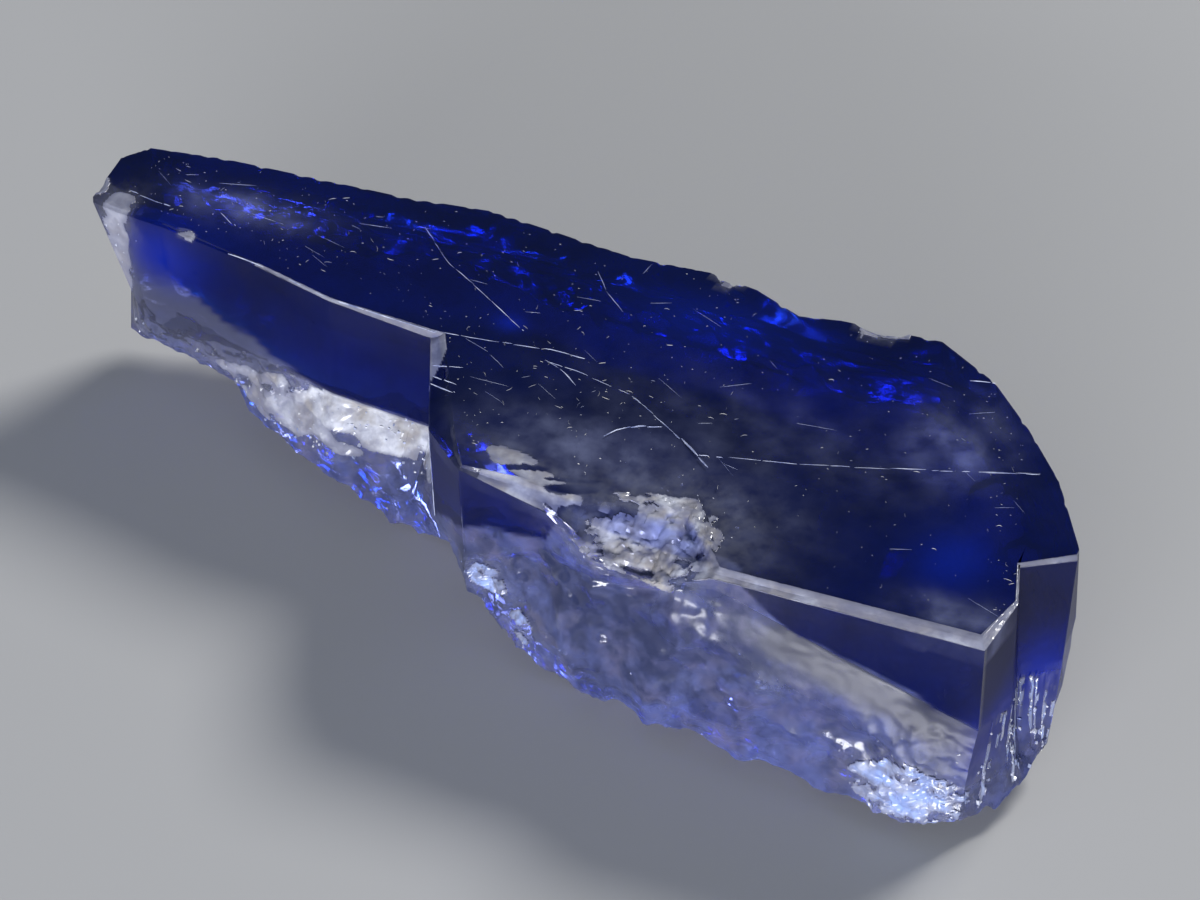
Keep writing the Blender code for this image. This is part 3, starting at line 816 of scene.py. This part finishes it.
# %% Scratches on the top
SCRATCHES = (
    # line in x and y, how bold it is
    # painted highlight: the first line runs along the top's left front edge and stands in for light it
    # catches
    (((-14.0, 0.85), (-13.1, 0.75), (-9.7, -0.13), (-5.7, -0.45)), 1.1),
    (((-5.9, -0.4), (-4.0, -0.2), (-1.84, 0.12), (-0.58, 0.12)), 1.0),
    (((-8.4, 4.7), (-6.84, 3.16), (-5.56, 2.4), (-3.88, 1.28), (-3.03, 0.73)), 0.8),
    (((-1.94, 4.63), (-1.27, 3.74), (-0.3, 2.88)), 0.6),
    (((-1.8, -0.43), (-1.0, -0.75), (-0.33, -1.3)), 1.2),
    (((-4.67, -0.39), (-3.6, -0.8), (-2.75, -1.38)), 0.5),
    (((1.57, -1.09), (2.6, -1.73), (3.8, -2.5), (5.2, -3.54)), 1.3),
    (((1.51, -3.38), (1.8, -2.88), (2.38, -2.43), (3.05, -2.16)), 1.7),
    (((4.72, -3.06), (7.89, -2.32), (11.0, -1.3), (15.2, 0.1)), 0.35),
    (((13.6, -0.45), (14.5, -0.13), (15.2, 0.1)), 0.9),
    (((-4.81, -2.94), (-3.88, -3.11)), 1.4),
    (((-5.11, -2.08), (-4.15, -1.81)), 1.1),
    (((-4.9, -2.6), (-4.0, -2.75)), 0.8),
    (((-0.45, 5.1), (-0.37, 5.7)), 0.8),
    (((-18.67, 2.8), (-17.6, 2.6), (-17.0, 2.54)), 1.3),
    (((-15.2, 2.9), (-14.44, 2.35)), 0.9),
    (((11.63, 3.83), (12.43, 4.02)), 0.9),
    (((-1.7, -0.5), (-0.46, -0.62), (1.57, -1.09)), 0.4),
)
# Lengths of the dashes and of the gaps between them
BOLD_PATTERN, FAINT_PATTERN = ((0.3, 1.5), (0.0, 0.1)), ((0.2, 1.3), (0.02, 0.3))


def on_top(line):
    """Points in x and y as points on the top face."""
    return np.column_stack([line, np.full(len(line), TOP_LEVEL)])


rng = np.random.default_rng(41)
ridges = []
for line, bold in SCRATCHES:
    pattern = BOLD_PATTERN if bold > 0.5 else FAINT_PATTERN
    for piece in dashes(on_top(line), rng, *pattern):
        width = RIDGE_WIDTH * bold * rng.uniform(0.5, 1.3)
        ridges.append(ridge(piece, width, RIDGE_HEIGHT * rng.uniform(0.4, 1)))


# %% Fine scratches, and painted glints on edges
def random_on_top(count, rng, margin=0.3):
    """Random places on the top face: a section, and a share of the way from its front to its back edge."""
    pick = rng.uniform(1.0, END_BACK - 0.1, count)
    back, front = (edge_points(edge, pick)[:, :2] for edge in (TOP_BACK, TOP_INNER))
    width = np.linalg.norm(back - front, axis=1, keepdims=True)
    share = 0.5 + (rng.random((count, 1)) - 0.5) * np.clip(1 - 2 * margin / width, 0, 1)
    return front + (back - front) * share


FRONT_WAY, CORNER_WAY = (0.0, -1.0, 0.0), (-0.9, -0.436, 0.0)
# painted highlights: pale ridges along upright edges stand in for light those edges catch
EDGE_GLINTS = (
    # line in x, y and z along an upright edge, the way its face looks, how bold it is
    (((-5.86, -0.5, 7.0), (-5.9, -0.6, 3.3)), FRONT_WAY, 1.1),
    (((-4.12, -4.75, 6.9), (-3.95, -4.85, 3.4)), CORNER_WAY, 0.9),
    (((-5.3, -2.0, 6.4), (-4.5, -3.8, 6.2)), CORNER_WAY, 0.6),
    (((-5.5, -1.4, 4.9), (-4.3, -4.2, 4.6)), CORNER_WAY, 0.6),
    (((-2.3, -6.45, 7.1), (-2.2, -6.4, 3.6)), FRONT_WAY, 0.6),
)
for line, way, bold in EDGE_GLINTS:
    for piece in dashes(line, rng, stray=0.008):
        ridges.append(ridge(piece, RIDGE_WIDTH * bold * rng.uniform(0.5, 1.3), RIDGE_HEIGHT * 0.6, way))
FINE_SCRATCHES = 34


def short_line(place, turn, half_length, count):
    """A straight line of points on the top face, turned by an angle about its middle."""
    half = np.array((math.cos(turn), math.sin(turn))) * half_length
    return on_top(np.linspace(place - half, place + half, count))


for place in random_on_top(FINE_SCRATCHES, rng, margin=0.85):
    turn = rng.choice((0.36, -0.64, 0.05, -0.3)) + rng.normal(0, 0.12)
    path = short_line(place, turn, rng.uniform(0.1, 0.7), 4)
    ridges.append(ridge(path, rng.uniform(0.010, 0.018), 0.006))
print("scratch ridges:", len(ridges))

# %% [markdown]
# ## Lint and dust
# A fibre of lint bends by the same small turn at each step, so it is an arc, and a speck is a very short
# straight one. A hair system would draw fibres too, but ridges do at this size.

# %% Lint and specks
FIBRES, SPECKS = 70, 420
DUST_HEIGHT = 0.014
DUSTY = ((-2.6, -1.2), (3.0, 1.5))
thick = rng.normal(*DUSTY, (FIBRES, 2))
thick = thick[(thick[:, 1] > -0.2) | (thick[:, 0] > -2.2)]
lint = []
for place in np.concatenate([random_on_top(FIBRES, rng, margin=0.5), thick]):
    length, bend, turn = rng.uniform(0.08, 0.3), rng.normal(0, 1.0), rng.uniform(0, math.pi)
    angles = turn + bend * np.linspace(-0.5, 0.5, 6)
    steps = np.stack([np.cos(angles), np.sin(angles)], axis=-1) * length / 5
    path = place + np.cumsum(steps, axis=0)
    lint.append(ridge(on_top(path), rng.uniform(0.008, 0.018), DUST_HEIGHT))
for place in random_on_top(SPECKS, rng):
    path = short_line(place, rng.uniform(0, math.pi), rng.uniform(0.010, 0.04), 3)
    lint.append(ridge(path, rng.uniform(0.012, 0.032), DUST_HEIGHT))
print("fibres and specks:", len(lint))

# %% [markdown]
# ## Loose grains
# Small cleavage blocks still hang on in the crushed places: boxes with their corners moved a little,
# turned a little and placed by lot where the crushed mask is strong. Geometry nodes could scatter them,
# but a list of places keeps them inside the frame's box.

# %% Grains in the crushed places
GRAINS = 500
CORNER_SHIFT, GRAIN_TURN = 0.09, 0.25
SUNK_SHARE, TOP_SHARE, BOX_SHARE = 0.62, 0.72, 0.9


def grain(place, turns, sizes, rng):
    """A small cleavage block: the eight corners of a box, each moved a little, turned and set in place."""
    corners = np.array(list(itertools.product((-1, 1), repeat=3)), float) * sizes / 2
    corners += rng.normal(0, CORNER_SHIFT, corners.shape) * sizes
    a, b, c = turns
    about_z = np.array(((math.cos(a), -math.sin(a), 0), (math.sin(a), math.cos(a), 0), (0, 0, 1)))
    about_x = np.array(((1, 0, 0), (0, math.cos(b), -math.sin(b)), (0, math.sin(b), math.cos(b))))
    about_y = np.array(((math.cos(c), 0, math.sin(c)), (0, 1, 0), (-math.sin(c), 0, math.cos(c))))
    quads = ((0, 1, 3, 2), (4, 6, 7, 5), (0, 4, 5, 1), (2, 3, 7, 6), (0, 2, 6, 4), (1, 5, 7, 3))
    return corners @ (about_z @ about_x @ about_y).T + place, list(quads)


weight = np.where((side == SOLE) | on_rim, 0.0, frost_and_glint**2 + 0.05 * crumble * broken * front_side)
picks = rng.choice(weight.size, GRAINS, p=(weight / weight.sum()).ravel())
grains_made = []
for pick in picks:
    sizes = rng.uniform(0.04, 0.11) * rng.uniform(0.5, 1.4, 3)
    place = skin.reshape(-1, 3)[pick] - ways.reshape(-1, 3)[pick] * sizes.max() * SUNK_SHARE
    place[2] = min(place[2], TOP_LEVEL - sizes.max() * TOP_SHARE)
    place = np.clip(place, box_low + sizes.max(), box_high - sizes.max() * BOX_SHARE)
    grains_made.append(grain(place, rng.normal(0, GRAIN_TURN, 3), sizes, rng))
print("grains:", len(grains_made))

# %% Place the marks
burr_and_edge_glint = bpy.data.materials.new("scratch_burr_and_edge_glint")
dust = bpy.data.materials.new("lint_dust")
loose_salt = bpy.data.materials.new("loose_salt")
MARKS = (
    ("top_scratches_and_edge_glints", ridges, burr_and_edge_glint),
    ("top_lint_and_dust", lint, dust),
    ("crushed_grains", grains_made, loose_salt),
)
for name, parts, material in MARKS:
    piece = new_piece(name, *joined(parts), material)
    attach(piece, ROOT)
    print(name, "triangles:", sum(len(face.vertices) - 2 for face in piece.data.polygons))

# %% [markdown]
# ## The salt itself
# Salt bends light by 1.544, and the blue takes red and green out of what passes. The shader is mostly
# glass: its numbers stand plainly on its own sockets, and only colour and roughness follow the masks.
# Glass alone would look too clean, so a share of the light scatters at the surface, where cracks and dust
# are. A noise gives the small unevenness within each mask.

# %% Material helpers
SALT_IOR = 1.544
NAVY = (0.001, 0.012, 0.20)
# the bright blue below is a painted glint, light reflected inside the salt
GLINT_BLUE = (0.003, 0.04, 0.80)
SMOKE = (0.13, 0.16, 0.40)
LILAC = (0.34, 0.41, 1.0)
ROSE = (0.46, 0.42, 0.66)
PALE = (0.16, 0.17, 0.27)
GREY = (0.48, 0.54, 0.95)
WHITE = (0.86, 0.88, 0.97)


class Tree:
    """A short way to write node trees. Most methods make one node, feed its sockets and give back the
    socket with its result."""

    def __init__(self, material):
        material.use_nodes = True
        self.nodes = material.node_tree.nodes
        self.links = material.node_tree.links
        self.shader = self.nodes["Principled BSDF"]
        self.output = self.nodes["Material Output"]

    def add(self, kind, **settings):
        node = self.nodes.new(kind)
        for name, value in settings.items():
            setattr(node, name, value)
        return node

    def feed(self, node, values):
        """Each named socket gets a plain number or colour, or a link from another node's socket."""
        for socket, value in values.items():
            if isinstance(value, tuple):
                node.inputs[socket].default_value = (*value, 1.0)
            elif isinstance(value, (int, float)):
                node.inputs[socket].default_value = value
            else:
                self.links.new(value, node.inputs[socket])

    def finish(self, **values):
        """Feeds the shader's own sockets."""
        self.feed(self.shader, {name.replace("_", " "): value for name, value in values.items()})

    def mask(self, name):
        """A mask that the mesh carries."""
        return self.add("ShaderNodeAttribute", attribute_name=name).outputs["Fac"]

    def maths(self, operation, first, second):
        node = self.add("ShaderNodeMath", operation=operation)
        self.feed(node, {0: first, 1: second})
        return node.outputs[0]

    def blend(self, share, first, second):
        """first where share is 0 and second where it is 1; both may be colours or sockets."""
        node = self.add("ShaderNodeMix", data_type="RGBA")
        self.feed(node, {"Factor": share, 6: first, 7: second})
        return node.outputs[2]

    def noise(self, per_mm, detail=3.0, roughness=0.55):
        """Noise that stays with the object, with that many waves to a millimetre."""
        place = self.add("ShaderNodeTexCoord").outputs["Object"]
        node = self.add("ShaderNodeTexNoise")
        self.feed(node, {"Vector": place, "Scale": per_mm / MM, "Detail": detail, "Roughness": roughness})
        return node.outputs["Fac"]

    def spread(self, value, low, high, to_low=0.0, to_high=1.0):
        """The value with low to high stretched to to_low to to_high, and held there outside."""
        node = self.add("ShaderNodeMapRange")
        ends = {"From Min": low, "From Max": high, "To Min": to_low, "To Max": to_high}
        self.feed(node, {"Value": value, **ends})
        return node.outputs[0]

    def absorb(self, density, colour):
        """Light that passes keeps this colour, and the more so the denser it is."""
        node = self.add("ShaderNodeVolumeAbsorption")
        self.feed(node, {"Density": density, "Color": colour})
        self.links.new(node.outputs["Volume"], self.output.inputs["Volume"])


# %% Salt
tree = Tree(salt)
mottle = tree.spread(tree.noise(0.35), 0.4, 0.62)
deep = tree.blend(mottle, NAVY, tuple(0.6 * v for v in NAVY))
uneven = tree.spread(tree.noise(1.4, 6.0, 0.65), 0.35, 0.65, -0.45, 0.45)
glow_share = tree.maths("ADD", tree.mask("glow"), uneven)
hazed = tree.blend(tree.spread(tree.noise(0.8, 5.0), 0.45, 0.62, 0.0, 0.6), LILAC, ROSE)
tinted = tree.blend(glow_share, SMOKE, hazed)
clear = tree.blend(tree.mask("colourless"), tinted, PALE)
zoned = tree.blend(tree.mask("blue"), clear, deep)
patched = tree.blend(tree.mask("painted_blue_glint"), zoned, GLINT_BLUE)
veil_share = tree.maths("MULTIPLY", tree.mask("veil"), tree.spread(tree.noise(1.1), 0.35, 0.65, 0.3, 0.9))
veiled = tree.blend(veil_share, patched, GREY)
grains = tree.spread(tree.noise(3.2, 4.0), 0.38, 0.62, 0.35, 1.0)
# the frost mask also carries the painted highlight on the rim and the painted sparkles
frost_and_glint_share = tree.maths("MULTIPLY", tree.mask("frost_and_glint"), tree.maths("MULTIPLY", grains, 0.6))
haze = tree.maths("ADD", tree.maths("MULTIPLY", frost_and_glint_share, 0.34), tree.maths("MULTIPLY", veil_share, 0.10))
satin = tree.maths("MULTIPLY", tree.mask("broken"), 0.07)
satin = tree.maths("ADD", satin, tree.maths("MULTIPLY", tree.mask("dulled"), 0.36))
roughness = tree.maths("ADD", tree.maths("ADD", haze, satin), 0.03)
bump = tree.add("ShaderNodeBump")
tree.feed(bump, {"Height": tree.noise(2.4, 5.0), "Strength": 0.06, "Distance": 0.03 * MM})
salt_colour = tree.blend(frost_and_glint_share, veiled, WHITE)
tree.finish(Base_Color=salt_colour, Roughness=roughness, Normal=bump.outputs["Normal"])
tree.finish(IOR=SALT_IOR, Specular_IOR_Level=0.22, Transmission_Weight=0.78)
tree.absorb(90.0, (0.50, 0.58, 0.97))
zone_tree = Tree(zone_salt)
zone_tree.absorb(700.0, (0.02, 0.14, 0.74))
zone_tree.nodes.remove(zone_tree.shader)
print("salt nodes:", len(tree.nodes))

# %% [markdown]
# ## Crushed salt, painted sparkles, burrs and dust
# Crushed salt is white like snow, because so many cracks turn the light back. Plain scatter with a rather
# smooth finish gives that, from dull lilac at the fringe to white, warm on the thin half and sky blue
# below the near corner. The sky blue is painted sparkle: glints of light on the crumbs, put into the
# colour. The marks are two tones mixed by a noise.

# %% Crushed salt
BEIGE = (0.48, 0.455, 0.45)
DULL_LILAC = (0.22, 0.23, 0.34)
# the sky blue below is painted sparkle, glints of light on the crumbs
SPARKLE_BLUE = (0.38, 0.52, 1.0)
tree = Tree(crushed_salt_and_sparkle)
warm = tree.blend(tree.spread(tree.noise(0.9), 0.42, 0.6), BEIGE, WHITE)
patchy = tree.maths("MULTIPLY", tree.mask("white"), tree.spread(tree.noise(2.0, 4.0), 0.36, 0.62, 0.6, 1.25))
sparkle_share = tree.maths("MULTIPLY", tree.mask("painted_sparkle"), tree.spread(tree.noise(1.7), 0.4, 0.6, 0.45, 1.0))
cool = tree.blend(sparkle_share, warm, SPARKLE_BLUE)
crushed_colour = tree.blend(patchy, DULL_LILAC, cool)
tree.finish(Base_Color=crushed_colour, Roughness=0.15, IOR=SALT_IOR, Transmission_Weight=0.28)
print("crushed salt nodes:", len(tree.nodes))

# %% Finish of the marks
MARK_FINISHES = (
    # material, dark tone, light tone, noise per mm, roughness, transmission
    # the burrs' light tone also paints the highlights along the edges
    (burr_and_edge_glint, (0.16, 0.19, 0.36), (0.55, 0.59, 0.74), 2.0, 0.45, 0.0),
    (dust, (0.18, 0.20, 0.30), (0.60, 0.58, 0.54), 1.2, 0.7, 0.0),
    (loose_salt, (0.35, 0.42, 0.72), (0.92, 0.93, 0.98), 1.6, 0.22, 0.35),
)
for material, dark, light_tone, per_mm, rough, clear in MARK_FINISHES:
    tree = Tree(material)
    mixed = tree.blend(tree.spread(tree.noise(per_mm), 0.36, 0.6), dark, light_tone)
    tree.finish(Base_Color=mixed, Roughness=rough, Transmission_Weight=clear, IOR=SALT_IOR)
    print(material.name, "roughness:", rough)

# %% [markdown]
# ## Floor
# The stone lies on a plain pale floor. Its colour matters, because clear salt shows what is behind it and
# upright glassy faces mirror the ground.

# %% Floor
FLOOR_COLOUR = (0.46, 0.46, 0.455)
floor_paint = bpy.data.materials.new("pale_floor")
Tree(floor_paint).finish(Base_Color=FLOOR_COLOUR, Roughness=0.75, Specular_IOR_Level=0.2)
FLOOR_REACH = 2.0
corners = FLOOR_REACH * np.array([(-1, -1, 0), (1, -1, 0), (1, 1, 0), (-1, 1, 0)])
floor = new_mesh("floor", corners, [(0, 1, 2, 3)], floor_paint)
print("floor reaches, in metres:", FLOOR_REACH)

# %% [markdown]
# ## Camera
# The directions of the stone's edges in the photo put the camera 22 degrees round and 40 degrees up. A
# long lens 160 mm away keeps the photo's mild perspective.

# %% Camera
VIEW_TURN, VIEW_RISE, VIEW_DISTANCE = math.radians(22), math.radians(40), 160.0
LOOK_AT = np.array((0.0, 0.0, 3.7)) + ORIGIN
LENS, SENSOR = 143.04, 36.0
right_way = np.array((math.cos(VIEW_TURN), math.sin(VIEW_TURN), 0.0))
away_way = np.array((-math.sin(VIEW_TURN), math.cos(VIEW_TURN), 0.0))
up_way = np.array((0.0, 0.0, 1.0))


def placed(target, right, away, up):
    """A place in millimetres, measured from the target along the camera's right, its way ahead and up."""
    return target + right * right_way + away * away_way + up * up_way


def aim(thing, place, target):
    """Puts a lamp or camera at a place in millimetres and turns its -Z axis to the target."""
    ahead = (target - place) / np.linalg.norm(target - place)
    side_way = np.cross(ahead, up_way)
    side_way /= np.linalg.norm(side_way)
    turned = np.column_stack([side_way, np.cross(side_way, ahead), -ahead, place * MM])
    thing.matrix_world = Matrix([*turned.tolist(), (0.0, 0.0, 0.0, 1.0)])


lens = bpy.data.cameras.new("view")
lens.lens, lens.sensor_width = LENS, SENSOR
lens.clip_start, lens.clip_end = 0.01, 10.0
camera = linked("view", lens)
eye = placed(LOOK_AT, 0.0, -VIEW_DISTANCE * math.cos(VIEW_RISE), VIEW_DISTANCE * math.sin(VIEW_RISE))
aim(camera, eye, LOOK_AT)
bpy.context.scene.camera = camera
print("camera in millimetres:", eye.round(1))

# %% [markdown]
# ## Lamps
# A large soft lamp behind on the right sends light through the clear salt towards the camera, and the
# shadow falls to the front left. A very weak one fills from the left, and a low one in front lights the
# upright faces.

# %% Lamps
DIM_BLUE, DIM_STRENGTH = (0.45, 0.62, 1.0), 0.15
LAMPS = (
    # name, right, away, up, width, height, watts, colour
    ("key_softbox", 220.0, 250.0, 280.0, 140.0, 140.0, 1.7, (1.0, 0.99, 0.97)),
    ("fill_softbox", -260.0, -120.0, 220.0, 220.0, 220.0, 0.05, (0.93, 0.96, 1.0)),
    ("low_front_lamp", -60.0, -260.0, 42.0, 260.0, 70.0, 1.1, (0.95, 0.96, 1.0)),
)
for name, right, away, up, width, tall, watts, colour in LAMPS:
    light = bpy.data.lights.new(name, "AREA")
    light.shape, light.size, light.size_y = "ELLIPSE", width * MM, tall * MM
    light.energy, light.color = watts, colour
    aim(linked(name, light), placed(LOOK_AT, right, away, up), LOOK_AT)
world = bpy.data.worlds.new("dim_room")
world.use_nodes = True
background = world.node_tree.nodes["Background"]
background.inputs["Color"].default_value = (*DIM_BLUE, 1.0)
background.inputs["Strength"].default_value = DIM_STRENGTH
bpy.context.scene.world = world
view = bpy.context.scene.view_settings
view.view_transform, view.look = "Standard", "None"
print("lamps:", len(LAMPS))
